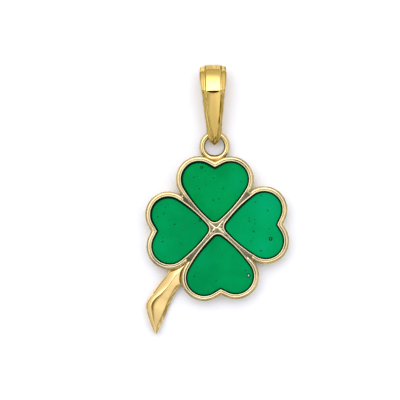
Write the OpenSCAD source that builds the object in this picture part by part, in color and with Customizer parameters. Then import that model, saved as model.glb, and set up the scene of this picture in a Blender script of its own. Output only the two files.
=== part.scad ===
// Four leaf clover pendant: heart-shaped leaves of green enamel in a gold frame, with a stalk and a tapered bail.
// It lies on its back: +Y runs up to the bail, +Z out of the front, and z = 0 is the flat back.

/* [Clover] */
// Radius of the two round lobes of a leaf, to the middle of its rim
lobe_r = 1.76; // [1.5:0.02:2.0]
// Half the distance between the two lobe centres of a leaf
lobe_gap = 1.34; // [1.2:0.02:1.5]
// Length of a leaf from its inner tip to the height of its lobe centres
leaf_len = 3.84; // [3.3:0.02:4.4]
// Radius of the long, slightly bowed flanks of a leaf
flank_r = 11.4; // [9:0.2:14]
// Radius of the rounded inner tip of a leaf
tip_r = 0.82; // [0.6:0.02:1]
// Angle between the notch's straight sides and the leaf's axis
notch_angle = 61.5; // [56:0.5:68]

/* [Frame] */
// Width of the rim around each leaf
wall_w = 0.405; // [0.3:0.005:0.5]
// Thickness of the frame, from its back to the top of the rims
frame_t = 1.5; // [1.3:0.02:1.8]
// Height of the rounded top of the rims
crown_h = 0.17; // [0.08:0.01:0.24]
// Width of the groove where the rims of two leaves meet
groove_w = 0.04; // [0.02:0.01:0.1]
// How far the web between the rims reaches past the narrowest place between two leaves
web_out = 0.36; // [0.2:0.02:0.5]
// Height of the web's front above the back of the frame
web_t = 0.8; // [0.5:0.02:1]
// Height of the web's rear face above the back of the frame
web_back = 0.16; // [0.05:0.01:0.3]
// Radius of the higher middle of the web, the floor of the grooves
hub_r = 3.5; // [1:0.05:3.6]
// Height of the higher middle of the web, which reaches down to the back
hub_t = 1.37; // [1.35:0.01:1.4]

/* [Enamel] */
// How far the enamel lies below the top of the rims
enamel_drop = 0.25; // [0.18:0.01:0.4]
// How far the enamel's edge climbs up the rim
enamel_climb = 0.05; // [0.01:0.01:0.08]
// Width of the band in which the enamel's edge climbs
enamel_band = 0.24; // [0.1:0.01:0.4]
// Height of the enamel's underside above the back of the frame
enamel_back = 0.12; // [0.05:0.01:0.3]
// Gap between the enamel and the rim
enamel_clear = 0.02; // [0.01:0.005:0.04]

/* [Ring] */
// Outer radius of the ring on top of the clover
ring_r = 1.31; // [1.2:0.01:1.45]
// Thickness of the ring's wire
ring_wire = 0.51; // [0.4:0.01:0.58]

/* [Stem] */
// Length of the stem
stem_l = 6.4; // [5:0.1:7.5]
// Breadth of the stem's curve
stem_w = 2.05; // [1.6:0.05:2.4]
// Height of the stem's ridge
stem_t = 1.28; // [1.1:0.02:1.3]
// Width of the stem's left side wall, seen from the front
stem_left_side = 0.17; // [0.08:0.01:0.22]
// Width of the stem's right side wall, seen from the front
stem_right_side = 0.25; // [0.1:0.01:0.3]
// Where the stem leaves the two leaves, past their narrowest place
stem_set = 0.1; // [0:0.01:0.2]

/* [Bail] */
// Length of the bail
bail_l = 6.87; // [6:0.05:8]
// Greatest width of the bail
bail_w = 2.3; // [2:0.05:2.6]
// Outer radius of the bail's round top end
bail_arch_r = 1.6; // [1.4:0.02:1.9]
// Thickness of the bail's strap
bail_t = 0.36; // [0.3:0.01:0.42]
// How far the bevels at the strap's edges fall away
bail_bevel = 0.13; // [0.05:0.01:0.2]
// Gap between the ring's wire and the inside of the bail's lower end
bail_clear = 0.045; // [0.03:0.005:0.08]
// How far the bail's lower end lies further in than the ring's wire
bail_set = 0.35; // [0.28:0.01:0.4]

/* [Hidden] */
GOLD = [0.86, 0.70, 0.36];
GREEN = [0.03, 0.62, 0.34];

// Leaves, clockwise from the top. Columns: turn in degrees from its quarter, distance past the diagonals and
// shift to the right as shares of wall_w, and length as a share of leaf_len
TURN = 0;
PAST = 1;
SHIFT = 2;
LONG = 3;
LEAVES = [
    [-1.7, -0.21, -0.40, 1.00],
    [1.7, 0.06, -0.09, 0.96],
    [1.9, -0.18, -0.17, 1.00],
    [1.0, -0.05, -0.09, 0.94]
];
TOP = 0;
RIGHT = 1;
BOTTOM = 2;
LEFT = 3;

// Stem. Columns: place as a share of stem_l, then right edge, ridge and left edge as shares of stem_w
STEM = [
    [-0.03, 0.02, 0.05, 0.08],
    [0.09, 0.00, 0.16, 0.27],
    [0.19, -0.14, 0.28, 0.60],
    [0.26, -0.15, 0.34, 0.69],
    [0.31, -0.02, 0.37, 0.74],
    [0.38, 0.01, 0.43, 0.81],
    [0.49, 0.055, 0.57, 0.89],
    [0.555, 0.08, 0.69, 0.94],
    [0.615, 0.09, 0.755, 0.99],
    [0.68, 0.09, 0.755, 1.00],
    [0.735, 0.09, 0.67, 0.93],
    [0.80, 0.10, 0.55, 0.79],
    [0.87, 0.11, 0.40, 0.61],
    [0.93, 0.11, 0.27, 0.43],
    [1.00, 0.12, 0.17, 0.21]
];
// Direction of the stem's root from the clover's centre, and the way that the stem runs
STEM_ROOT_ANGLE = 230.1;
STEM_ANGLE = 246.8;
// Heights of the stem's shoulders as shares of stem_t, and of its side walls' widest place
STEM_LEFT = 0.82;
STEM_RIGHT = 0.70;
STEM_WIDEST = 0.3;

// Bail. Places along it from the ring end as shares of bail_l, against widths as shares of bail_w
BAIL_WIDTH = [[0, 0.16], [0.03, 0.28], [0.09, 0.47], [0.17, 0.545], [0.285, 0.60], [0.425, 0.705],
    [0.56, 0.79], [0.655, 0.85], [0.75, 0.92], [0.83, 0.99], [0.915, 1.00], [1, 0.95]];
BAIL_PANEL = [[0, 0.04], [0.03, 0.05], [0.09, 0.10], [0.17, 0.22], [0.285, 0.36], [0.425, 0.46],
    [0.56, 0.52], [0.655, 0.55], [0.75, 0.57], [1, 0.57]];

// How far the web reaches into the rims, inwards of their middle, as a share of wall_w
WEB_IN_RIM = 0.36;
// What is filed off the back to make it flat
FILED = 0.3;

// Steps along the curves
lobe_steps = 15;
flank_steps = 4;
tip_steps = 4;
crown_steps = 8;
arch_steps = 18;
end_steps = 10;
strap_steps = 7;
ring_steps = 48;
wire_steps = 20;

function polar(r, a) = [r * cos(a), r * sin(a)];
function angle(v) = atan2(v.y, v.x);
function arc(c, r, a0, a1, steps) = [for (i = [0:steps]) c + polar(r, a0 + (a1 - a0) * i / steps)];
function turned(p, a) = [p.x * cos(a) - p.y * sin(a), p.x * sin(a) + p.y * cos(a)];
function at_height(outline, z) = [for (p = outline) [p.x, p.y, z]];

// Height of the heart's notch above its tip, on an outline that lies e outside the rim's middle
function notch_y(e, long) = long * leaf_len + (lobe_r + e - lobe_gap * cos(notch_angle)) / sin(notch_angle);

// Centre of the large circle that touches the lobe's circle and the tip's circle from outside
function flank_centre(lobe, tip) =
    let (to_lobe = flank_r - lobe_r, to_tip = flank_r - tip_r, d = norm(lobe - tip), u = (lobe - tip) / d,
        a = (to_tip * to_tip - to_lobe * to_lobe + d * d) / (2 * d))
    tip + u * a + [-u.y, u.x] * sqrt(to_tip * to_tip - a * a);

// Right half of a heart from its notch down to its tip: a straight line, the lobe, the flank and the tip
function half_heart(e, long) =
    let (lobe = [lobe_gap, long * leaf_len], tip = [0, tip_r], flank = flank_centre(lobe, tip),
        a_lobe = angle(lobe - flank), a_tip = angle(tip - flank))
    concat([[0, notch_y(e, long)]],
        arc(lobe, lobe_r + e, 180 - notch_angle, a_lobe, lobe_steps),
        [for (i = [1:flank_steps]) flank + polar(flank_r + e, a_lobe + (a_tip - a_lobe) * i / flank_steps)],
        [for (i = [1:tip_steps]) tip + polar(tip_r + e, a_tip + (-90 - a_tip) * i / tip_steps)]);

function heart(e, long) =
    let (half = half_heart(e, long), n = len(half))
    concat(half, [for (i = [n - 2:-1:1]) [-half[i].x, half[i].y]]);

// Distance of a leaf's tip from the clover's centre, so that its rim meets its neighbours' along the diagonals
function tip_out(i) = max([for (p = half_heart(0, LEAVES[i][LONG])) p.x - p.y]) + LEAVES[i][PAST] * wall_w;

// Outline of leaf i, e outside its rim's middle
function full_outline(i, e) = let (row = LEAVES[i])
    [for (p = heart(e, row[LONG])) turned(p + [row[SHIFT] * wall_w, tip_out(i)], row[TURN] - 90 * i)];

// The groove that follows leaf i clockwise: the direction from it to the leaf, and its distance from the clover's
// centre, halfway between the middles of the two rims
function groove(i) =
    let (j = (i + 1) % 4, side = polar(1, 135 - 90 * i + (LEAVES[i][TURN] + LEAVES[j][TURN]) / 2))
    [side, (min(full_outline(i, 0) * side) + max(full_outline(j, 0) * side)) / 2];

// Share of the way from m to p that ends half a groove's width on that side of the groove
function way(m, p, side, set) = let (edge = set + groove_w / 2)
    p * side < edge ? (m * side - edge) / (m * side - p * side) : 1;

// The same outline, drawn in towards the leaf's middle m where it meets a groove
function leaf_outline(i, e) =
    let (m = turned([0, leaf_len / 2 + tip_out(i)], LEAVES[i][TURN] - 90 * i),
        after = groove(i), before = groove((i + 3) % 4))
    [for (p = full_outline(i, e))
        m + (p - m) * min(way(m, p, after[0], after[1]), way(m, p, -before[0], -before[1]))];

// Distance from the clover's centre to the narrowest place between two leaves
fork_r = (lobe_gap + leaf_len + tip_out(TOP)) / sqrt(2);

// Ring, in the notch of the top leaf, halfway up the frame
ring_y = tip_out(TOP) + notch_y(wall_w / 2, LEAVES[TOP][LONG]) + ring_r;
ring_mid_r = ring_r - ring_wire / 2;
ring_z = frame_t / 2;

// Bail, on its back strap: its lower end goes round the ring's wire
end_r = ring_wire / 2 + bail_clear + bail_t;
end_y = ring_y + ring_mid_r - bail_set;
arch_y = end_y - end_r + bail_l - bail_arch_r;
bail_slope = 2 * atan((bail_arch_r - end_r) / (arch_y - end_y));
STRAP_TOP = 90 + bail_slope;

// A closed band: each loop of points is joined to the next, and the last one to the first
module band(loops) {
    n = len(loops[0]);
    m = len(loops);
    polyhedron([for (loop = loops) each loop],
        [for (k = [0:m - 1], i = [0:n - 1]) let (a = k * n, b = (k + 1) % m * n, j = (i + 1) % n)
            each [[a + i, b + j, a + j], [a + i, b + i, b + j]]]);
}

// A closed stack: each loop of points is joined to the next, and the first and last ones are filled
module stack(loops) {
    n = len(loops[0]);
    m = len(loops);
    polyhedron([for (loop = loops) each loop],
        concat([[for (i = [n - 1:-1:0]) i], [for (i = [0:n - 1]) (m - 1) * n + i]],
            [for (k = [0:m - 2], i = [0:n - 1]) let (a = k * n, b = (k + 1) * n, j = (i + 1) % n)
                each [[a + i, a + j, b + j], [a + i, b + j, b + i]]]));
}

// Section across a rim: a round top from the inside to the outside, and a back that is filed flat later
function rim_section() = concat(
    [for (i = [0:crown_steps]) let (a = 180 * i / crown_steps)
        [-cos(a) * wall_w / 2, frame_t - crown_h * (1 - sin(a))]],
    [[wall_w / 2, -FILED], [-wall_w / 2, -FILED]]);

module rim(i) {
    band([for (s = rim_section()) at_height(leaf_outline(i, s[0]), s[1])]);
}

// The space between the leaves out to radius r, with a share of the rims' own width
module between_leaves(r) {
    difference() {
        circle(r, $fn = ring_steps);
        for (i = [TOP:LEFT]) polygon(leaf_outline(i, -WEB_IN_RIM * wall_w));
    }
}

module web() {
    translate([0, 0, web_back])
        linear_extrude(web_t - web_back) between_leaves(fork_r + web_out);
    translate([0, 0, -FILED])
        linear_extrude(hub_t + FILED) between_leaves(hub_r);
}

module ring() {
    translate([0, ring_y, ring_z])
        rotate_extrude($fn = ring_steps)
            translate([ring_mid_r, 0]) circle(ring_wire / 2, $fn = wire_steps);
}

// Section across the stem, with its two side walls, two shoulders and the ridge
function stem_section(row) =
    let (x = row[0] * stem_l, right = row[1] * stem_w, ridge = row[2] * stem_w, left = row[3] * stem_w,
        // The side walls together take at most half of the stem's width
        side = min(1, (left - right) / (stem_left_side + stem_right_side) / 2),
        left_side = side * stem_left_side, right_side = side * stem_right_side)
    [
        [x, -right - right_side / 2, -FILED],
        [x, -right, STEM_WIDEST * stem_t],
        [x, -right - right_side, STEM_RIGHT * stem_t],
        [x, -ridge, stem_t],
        [x, -left + left_side, STEM_LEFT * stem_t],
        [x, -left, STEM_WIDEST * stem_t],
        [x, -left + left_side / 2, -FILED]
    ];

module stem() {
    translate(polar(fork_r + stem_set, STEM_ROOT_ANGLE))
        rotate(STEM_ANGLE)
            for (i = [0:len(STEM) - 2])
                hull() stack([stem_section(STEM[i]), stem_section(STEM[i + 1])]);
}

// All that lies behind the flat back
module behind() {
    reach = 2 * (fork_r + stem_l);
    translate([-reach, -reach, -2 * FILED]) cube([2 * reach, 2 * reach, 2 * FILED]);
}

module clover_frame() {
    color(GOLD)
        difference() {
            union() {
                for (i = [TOP:LEFT]) rim(i);
                web();
                ring();
                stem();
            }
            behind();
        }
}

// Enamel of one leaf, with an edge that climbs a little at the rim
module enamel(i) {
    edge = -wall_w / 2 - enamel_clear;
    top = frame_t - enamel_drop;
    color(GREEN)
        stack([
            at_height(leaf_outline(i, edge), enamel_back),
            at_height(leaf_outline(i, edge), top + enamel_climb),
            at_height(leaf_outline(i, edge - enamel_band / 2), top + enamel_climb / 4),
            at_height(leaf_outline(i, edge - enamel_band), top)
        ]);
}

// Places around the bail's side view, each with the direction in which it faces: back strap, arch, front strap, end
function bail_path() = let (arch = [arch_y, bail_arch_r], end = [end_y, end_r]) concat(
    [for (i = [0:strap_steps - 1]) let (y = end_y + (arch_y - end_y) * i / strap_steps) [y, 0, -90]],
    [for (i = [0:arch_steps]) let (a = -90 + (STRAP_TOP + 90) * i / arch_steps)
        each [concat(arch + polar(bail_arch_r, a), [a])]],
    [for (i = [1:strap_steps - 1]) let (s = i / strap_steps)
        concat((arch + polar(bail_arch_r, STRAP_TOP)) * (1 - s) + (end + polar(end_r, STRAP_TOP)) * s, [STRAP_TOP])],
    [for (i = [0:end_steps - 1]) let (a = STRAP_TOP + (270 - STRAP_TOP) * i / end_steps)
        concat(end + polar(end_r, a), [a])]);

// Section of the strap at one place: flat inside, and outside a panel between two bevels
function strap_section(place) =
    let (share = (place[0] - (end_y - end_r)) / bail_l, half = lookup(share, BAIL_WIDTH) * bail_w / 2,
        panel = lookup(share, BAIL_PANEL) * bail_w / 2, facing = polar(1, place[2]),
        corners = [[-half, bail_t], [half, bail_t], [half, bail_bevel], [panel, 0], [-panel, 0], [-half, bail_bevel]])
    [for (c = corners) [c.x, place[0] - facing.x * c.y, place[1] - facing.y * c.y]];

module bail() {
    color(GOLD) band([for (place = bail_path()) strap_section(place)]);
}

clover_frame();
enamel(TOP);  // enamel_top
enamel(RIGHT);  // enamel_right
enamel(BOTTOM);  // enamel_bottom
enamel(LEFT);  // enamel_left
bail();
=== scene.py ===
import math

import bpy
import numpy as np
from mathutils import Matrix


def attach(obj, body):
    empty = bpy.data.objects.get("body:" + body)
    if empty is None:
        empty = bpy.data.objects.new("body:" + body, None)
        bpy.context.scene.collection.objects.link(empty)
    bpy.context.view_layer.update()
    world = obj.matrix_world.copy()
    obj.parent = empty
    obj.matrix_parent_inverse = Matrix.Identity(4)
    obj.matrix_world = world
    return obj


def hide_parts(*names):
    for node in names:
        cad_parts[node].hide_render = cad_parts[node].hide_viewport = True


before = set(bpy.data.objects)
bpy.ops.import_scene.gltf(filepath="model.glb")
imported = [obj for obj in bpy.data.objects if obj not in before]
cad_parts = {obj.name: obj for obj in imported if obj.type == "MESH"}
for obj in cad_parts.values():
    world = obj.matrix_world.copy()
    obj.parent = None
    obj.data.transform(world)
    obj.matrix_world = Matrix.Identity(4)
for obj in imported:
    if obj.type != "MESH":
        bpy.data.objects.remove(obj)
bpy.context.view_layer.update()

# The clover frame: four heart-shaped rims, the web between them, the hanging ring and the stalk. It is one casting
# of yellow gold with the ring soldered on. Each rim has a thin lip at the enamel and a rounder band outside it.
# Where two rims run side by side, the bands sink away and a flat web shows between the two lips.
MM, TURN = 0.001, 2 * math.pi
# A rim's middle line, in millimetres like all sizes: the lobe's radius, distance from the leaf's axis and height
# above the tip, the radii of flank and tip, and the notch's angle
LOBE_R, LOBE_GAP, LEAF_LEN, FLANK_R, TIP_R = 1.76, 1.34, 3.84, 11.4, 0.82
NOTCH_ANGLE = math.radians(61.5)
WALL_W, FRAME_T = 0.405, 1.5
# Turn in degrees, distance past the diagonals and shift as shares of the wall, and length as a share of a leaf
LEAVES = {"top": (-1.7, -0.21, -0.4, 1.0), "right": (-88.3, 0.06, -0.09, 0.96),
          "bottom": (-178.1, -0.18, -0.17, 1.0), "left": (-269.0, -0.05, -0.09, 0.94)}
LOBE_POINTS, FLANK_POINTS, TIP_POINTS = 56, 32, 20


def steps(start, stop, count):
    """Even steps from start up to stop, without it."""
    return np.linspace(start, stop, count, endpoint=False)


def heart_circles(long):
    """Centres of the lobe, the tip and the flank circle, where the flank circle holds the other two and touches
    both from inside, and the directions in which it touches them."""
    lobe, tip = np.array([LOBE_GAP, long * LEAF_LEN]), np.array([0.0, TIP_R])
    to_lobe, to_tip = FLANK_R - LOBE_R, FLANK_R - TIP_R
    apart = np.linalg.norm(lobe - tip)
    along = (lobe - tip) / apart
    foot = (to_tip ** 2 - to_lobe ** 2 + apart ** 2) / (2 * apart)
    flank = tip + along * foot + np.array([-along[1], along[0]]) * math.sqrt(to_tip ** 2 - foot ** 2)
    return lobe, tip, flank, np.arctan2(*(lobe - flank)[::-1]), np.arctan2(*(tip - flank)[::-1])


def heart_curve(e, long):
    """Closed curves e outside the middle of a rim, one for each e: notch point, then an arc each for lobe, flank
    and tip with radius grown by e, and the same mirrored back to the notch."""
    e = np.asarray(e, float)[:, None]
    lobe, tip, flank, lobe_end, tip_start = heart_circles(long)
    angles = [np.linspace(math.pi - NOTCH_ANGLE, lobe_end, LOBE_POINTS),
              np.linspace(lobe_end, tip_start, FLANK_POINTS + 1)[1:],
              np.linspace(tip_start, -math.pi / 2, TIP_POINTS + 1)[1:]]
    arcs = [np.stack([c[0] + (r + e) * np.cos(a), c[1] + (r + e) * np.sin(a)], -1)
            for c, r, a in zip((lobe, flank, tip), (LOBE_R, FLANK_R, TIP_R), angles)]
    notch_y = lobe[1] + (LOBE_R + e - LOBE_GAP * math.cos(NOTCH_ANGLE)) / math.sin(NOTCH_ANGLE)
    notch = np.stack([0 * notch_y, notch_y], -1)
    share = np.array([1 / 3, 2 / 3])[None, :, None]
    straight = notch * (1 - share) + arcs[0][:, :1] * share
    half = np.concatenate([notch, straight] + arcs, 1)
    return np.concatenate([half, half[:, -2:0:-1] * [-1, 1]], 1)


def tip_out(leaf):
    """How far a leaf's tip stands from the clover's centre: as far as its middle line reaches to a diagonal, and its
    own share past it."""
    _, past, _, long = LEAVES[leaf]
    curve = heart_curve([0.0], long)[0]
    return np.max(curve[:, 0] - curve[:, 1]) + past * WALL_W


TIPS = {leaf: tip_out(leaf) for leaf in LEAVES}


def turned(x, y, turn):
    """Points turned about the origin, as their x and y."""
    c, s = math.cos(turn), math.sin(turn)
    return x * c - y * s, x * s + y * c


def set_leaf(leaf, points):
    """Points of an upright heart, moved by the leaf's shift and tip distance and turned."""
    turn, _, shift, _ = LEAVES[leaf]
    return np.stack(turned(points[..., 0] + shift * WALL_W, points[..., 1] + TIPS[leaf], math.radians(turn)), -1)


# How softly the offsets of a leaf's halves meet
AXIS_SOFT = 0.03


def leaf_offset(leaf, x, y):
    """Distance from the middle of a leaf's rim, negative inside: in the half that the point lies in, the distance
    to the lobe's, flank's or tip's arc, or to the straight side of the notch."""
    turn, _, shift, long = LEAVES[leaf]
    u, v = turned(x, y, -math.radians(turn))
    u, v = np.sqrt((u - shift * WALL_W) ** 2 + AXIS_SOFT ** 2), v - TIPS[leaf]
    lobe, tip, flank, lobe_end, tip_start = heart_circles(long)
    straight = (v - lobe[1]) * math.sin(NOTCH_ANGLE) - (u - lobe[0]) * math.cos(NOTCH_ANGLE) - LOBE_R
    offset = np.maximum(straight, np.hypot(u - flank[0], v - flank[1]) - FLANK_R)
    offset = np.where(np.arctan2(v - flank[1], u - flank[0]) < tip_start,
                      np.hypot(u - tip[0], v - tip[1]) - TIP_R, offset)
    round_lobe = np.arctan2(v - lobe[1], u - lobe[0])
    on_lobe = (round_lobe > lobe_end) & (round_lobe < math.pi - NOTCH_ANGLE)
    return np.where(on_lobe, np.hypot(u - lobe[0], v - lobe[1]) - LOBE_R, offset)


# Millimetres in a pixel of the picture, and the clover's centre and lean in it
PIXEL_MM = 25.4 / 299.3
CLOVER_PIXEL, CLOVER_LEAN = (216.4, 228.1), math.radians(1.3)


def on_clover(pixels):
    """Millimetres from the clover's centre for places given in the picture's pixels."""
    x, y = ((np.array(pixels, float) - CLOVER_PIXEL) * [PIXEL_MM, -PIXEL_MM]).T
    return np.stack(turned(x, y, -CLOVER_LEAN), 1)


def hump(distance, spread):
    """1 at no distance and less around it: e to the power of minus the square of the distance over the spread."""
    return np.exp(-(distance / spread) ** 2)


def spots(x, y, places, spread):
    """A hump at each of the places, and the largest where they meet."""
    return np.max([hump(np.hypot(x - px, y - py), spread) for px, py in places], 0)


def eased(value, low, high):
    """0 up to low, 1 from high, and a smooth step between them: 3 times the square of the share less twice its
    cube."""
    share = np.clip((value - low) / (high - low), 0, 1)
    return share * share * (3 - 2 * share)


def sheet_faces(rows, columns, closed_rows):
    """Quads between the points of a grid whose columns close on themselves, and its rows too if closed_rows."""
    i, j = np.arange(rows if closed_rows else rows - 1)[:, None], np.arange(columns)[None, :]
    down, across = (i + 1) % rows, (j + 1) % columns
    return np.stack([i * columns + j, i * columns + across, down * columns + across, down * columns + j],
                    -1).reshape(-1, 4)


def capped_faces(rows, columns):
    """A tube's quads, with triangles from its first and its last row to the two points that follow its rows."""
    j, pole, last = np.arange(columns), np.full(columns, rows * columns), (rows - 1) * columns
    beside = (j + 1) % columns
    return [sheet_faces(rows, columns, False), np.stack([pole, beside, j], 1),
            np.stack([last + j, last + beside, pole + 1], 1)]


def listed(marks, capped=False):
    """Each named grid of values as one row, with its first and last row's value after it for a capped tube."""
    return {name: np.concatenate([value.ravel()] + [value[0, :1], value[-1, :1]] * capped)
            for name, value in marks.items()}


# Distances out at which room is looked for, and over how many points on each side it is averaged
ROOM_FROM, ROOM_MOST, ROOM_STEPS, ROOM_SMOOTH = -0.2, 0.3, 101, 4


def room(leaf):
    """Room outside the middle of a rim at each of its points: the first distance out at which a neighbour's offset
    is no greater than its own, found between steps by a straight line."""
    out = np.linspace(ROOM_FROM, ROOM_MOST, ROOM_STEPS)[:, None]
    points = set_leaf(leaf, heart_curve(out[:, 0], LEAVES[leaf][3]))
    others = [leaf_offset(other, points[..., 0], points[..., 1]) for other in LEAVES if other != leaf]
    spare = np.min(others, 0) - out
    spare[-1] = -1e-6
    first = (spare < 0).argmax(0)
    k = np.arange(spare.shape[1])
    before, after = spare[first - 1, k], spare[first, k]
    found = out[first - 1, 0] + (out[1, 0] - out[0, 0]) * np.clip(before / (before - after), 0, 1)
    return np.mean([np.roll(found, shift) for shift in range(-ROOM_SMOOTH, ROOM_SMOOTH + 1)], 0)


# How far and how softly a rim stays inside the line halfway to its neighbour, the room and the distance from the
# clover's centre over which its band rises, and the height that it rises from
RIM_CLEAR, RIM_SOFT, BAND_ROOM, BAND_FROM, SUNK_Z = 0.012, 0.03, (0.13, 0.19), (3.0, 3.6), 1.33
# Where the band starts, the groove's middle, spread and top, and how the groove is where it lies shallow and pale
# and where it lies deep and dark
BAND_IN, GROOVE_AT, GROOVE_W, GROOVE_TOP = -0.1, -0.078, 0.035, 1.44
GROOVE_LIFT, GROOVE_PALE, GROOVE_DARK = 0.022, 0.7, 1.4
# The dark line round the band, by distance from its edge and height, and the richer and paler gold, by distance out.
# All are painted: the line a dark reflection, the richer band shade and the paler lip a highlight
LINE_DARK, LINE_AT, LINE_Z = 0.7, (-0.035, -0.008), (1.0, 1.3)
RICHER, RICHER_AT, PALER, PALER_AT = 0.55, (0.0, 0.12), 0.35, (-0.02, 0.08)
CORNER_STEPS = 3
# A rim's corners: distance out from its middle, height, darkness, and how much each corner is rounded. The darkness
# is painted: dark reflection on the walls and edges, and shade in the creases
RIM_CORNERS = np.array([
    [0.172, 0.0, 0.1, 0.01], [0.1985, 0.03, 0.1, 0.01], [0.1985, 0.6, 0.1, 0.1], [0.1965, 1.34, 0.4, 0.02],
    [0.186, 1.397, 0.7, 0.008], [0.152, 1.417, 0.1, 0.006], [0.139, 1.406, 0.9, 0.005],
    [0.127, 1.424, 0.45, 0.005], [0.042, 1.455, 0.22, 0.012], [0.0, 1.462, 0.05, 0.01],
    [-0.044, 1.446, 0.0, 0.006], [-0.055, 1.425, 0.7, 0.006], [-0.078, 1.392, 0.9, 0.006],
    [-0.098, 1.43, 0.7, 0.006], [-0.11, 1.488, 0.2, 0.006], [-0.152, 1.5, 0.12, 0.01],
    [-0.19, 1.49, 0.0, 0.006], [-0.201, 1.47, 0.5, 0.008], [-0.2025, 1.2, 0.8, 0.1], [-0.2025, 0.6, 0.6, 0.1],
    [-0.2025, 0.03, 0.5, 0.01], [-0.172, 0.0, 0.4, 0.01]])
# Where the groove is deeper and darker, in the picture's pixels
DARK_GROOVE_PIXELS, DARK_GROOVE_SPREAD = [(185.5, 271), (184, 281), (251.5, 263), (158, 262), (281, 243), (240, 160)], 0.75


def rounded(corners, radii):
    """Outlines in which each corner becomes a short curve, from a point before it to a point after it and bent
    towards it."""
    before, after = np.roll(corners, 1, 0) - corners, np.roll(corners, -1, 0) - corners
    share = np.linspace(0, 1, CORNER_STEPS).reshape((-1,) + (1,) * (corners.ndim - 1))
    curves = []
    for corner, back, on, radius in zip(corners, before, after, radii):
        first, last = (corner + way * np.minimum(
            radius / np.maximum(np.linalg.norm(way[..., :2], axis=-1, keepdims=True), 1e-9), 0.4)
            for way in (back, on))
        curves.append((1 - share) ** 2 * first + 2 * share * (1 - share) * corner + share ** 2 * last)
    return np.concatenate(curves)


def rim(leaf):
    """One rim: its section carried round the heart, with a thin lip inside, a groove and a wider band outside that
    slopes in steps. The part outside the groove is drawn in to the room there is, and sinks below the web where
    the room is small."""
    middle, far = heart_curve([0.0, 1.0], LEAVES[leaf][3])
    free, half_wall = room(leaf), WALL_W / 2
    edge = (half_wall + free - RIM_CLEAR - np.sqrt((half_wall - free + RIM_CLEAR) ** 2 + RIM_SOFT ** 2)) / 2
    rise = eased(free, *BAND_ROOM) * eased(np.hypot(*set_leaf(leaf, middle).T), *BAND_FROM)
    out, z, dark = (column[:, None] for column in rounded(RIM_CORNERS[:, :3], RIM_CORNERS[:, 3]).T)
    band = out > BAND_IN
    drawn = BAND_IN + (out - BAND_IN) * (edge - BAND_IN) / (half_wall - BAND_IN)
    z = np.where(band & (z > SUNK_Z), SUNK_Z + (z - SUNK_Z) * rise, z)
    out = np.where(band, drawn, out)
    plan = set_leaf(leaf, middle + out[..., None] * (far - middle))
    in_groove = hump(out - GROOVE_AT, GROOVE_W)
    dark_groove = spots(plan[..., 0], plan[..., 1], on_clover(DARK_GROOVE_PIXELS), DARK_GROOVE_SPREAD)
    z = z + GROOVE_LIFT * in_groove * (z < GROOVE_TOP) * (1 - dark_groove)
    half = len(middle) // 2
    gone = np.concatenate([[0], np.cumsum(np.linalg.norm(np.diff(middle[:half + 1], axis=0), axis=1))])
    along = np.concatenate([gone, gone[-2:0:-1]])
    # Darker where the groove lies deep, and a painted dark reflection along the band's edge
    dark = dark * (1 - GROOVE_PALE * in_groove * (1 - dark_groove)) + GROOVE_DARK * in_groove * dark_groove \
        + LINE_DARK * rise * eased(out - edge, *LINE_AT) * eased(z, *LINE_Z)
    # Richer gold out on the band is painted shade, paler gold towards the lip a painted highlight
    rich = RICHER * eased(out, *RICHER_AT) - PALER * (1 - eased(out, *PALER_AT))
    marks = {"across": out, "along": along + 0 * out, "dark": dark, "rich": rich}
    return np.concatenate([plan, z[..., None]], 2).reshape(-1, 3), [sheet_faces(*out.shape, True)], listed(marks)


FORK_R = (LOBE_GAP + LEAF_LEN + TIPS["top"]) / math.sqrt(2)
# Heights of the web, of the shelf at its ends and of its back, and how far out and in under the rims it runs
WEB_Z, WEB_LOW, WEB_BACK, WEB_LOW_END, WEB_IN = 1.405, 0.8, 0.16, FORK_R + 0.34, 0.14
# Where the flat web ends, from the upper right round to the lower right, and the small bevel there
WEB_ENDS, END_W, END_FOOT, END_DROP = np.array([4.3, 4.05, 3.9, 4.2]), 0.04, 0.002, 0.01
# How grey each arm of the web is painted, a painted dim reflection of the dark overhead, from where on, and by how
# much less at its end
ARM_GREY, GREY_FROM, GREY_LESS, GREY_ENDS = np.array([1.0, 0.72, 0.82, 1.0]), (0.6, 1.3), 0.25, (3.0, 3.9)
WEB_RAYS, WEB_STEPS = 960, 700
WEB_SHARES = np.array([0.03, 0.06, 0.09, 0.12, 0.15, 0.18, 0.21, 0.24, 0.27, 0.31, 0.36, 0.42, 0.49, 0.57, 0.66,
                       0.75, 0.83, 0.9, 0.95])[:, None]
# The rib's height, spread, end and brightness, a painted highlight, and the painted line of shade along the lips
WEB_RIB, WEB_RIB_W, WEB_RIB_ENDS, RIB_BRIGHT = 0.016, 0.045, (0.3, 1.3), 0.9
LIP_DARK, LIP_AT, LIP_W = 0.75, -0.096, 0.02
# Dark pits in the web near its centre, in the picture's pixels
PIT_PIXELS = [(221.2, 227.4), (222, 224.6), (225.2, 221.2), (228.4, 217.3), (223.4, 230.4), (225, 232), (226.6, 235.4),
              (211.2, 231.6), (208.5, 234.7), (205.3, 238.9), (213.7, 231.7)]
PIT_SPREAD, PIT_DEEP, PIT_DARK = 0.075, 0.02, 2.5


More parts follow.
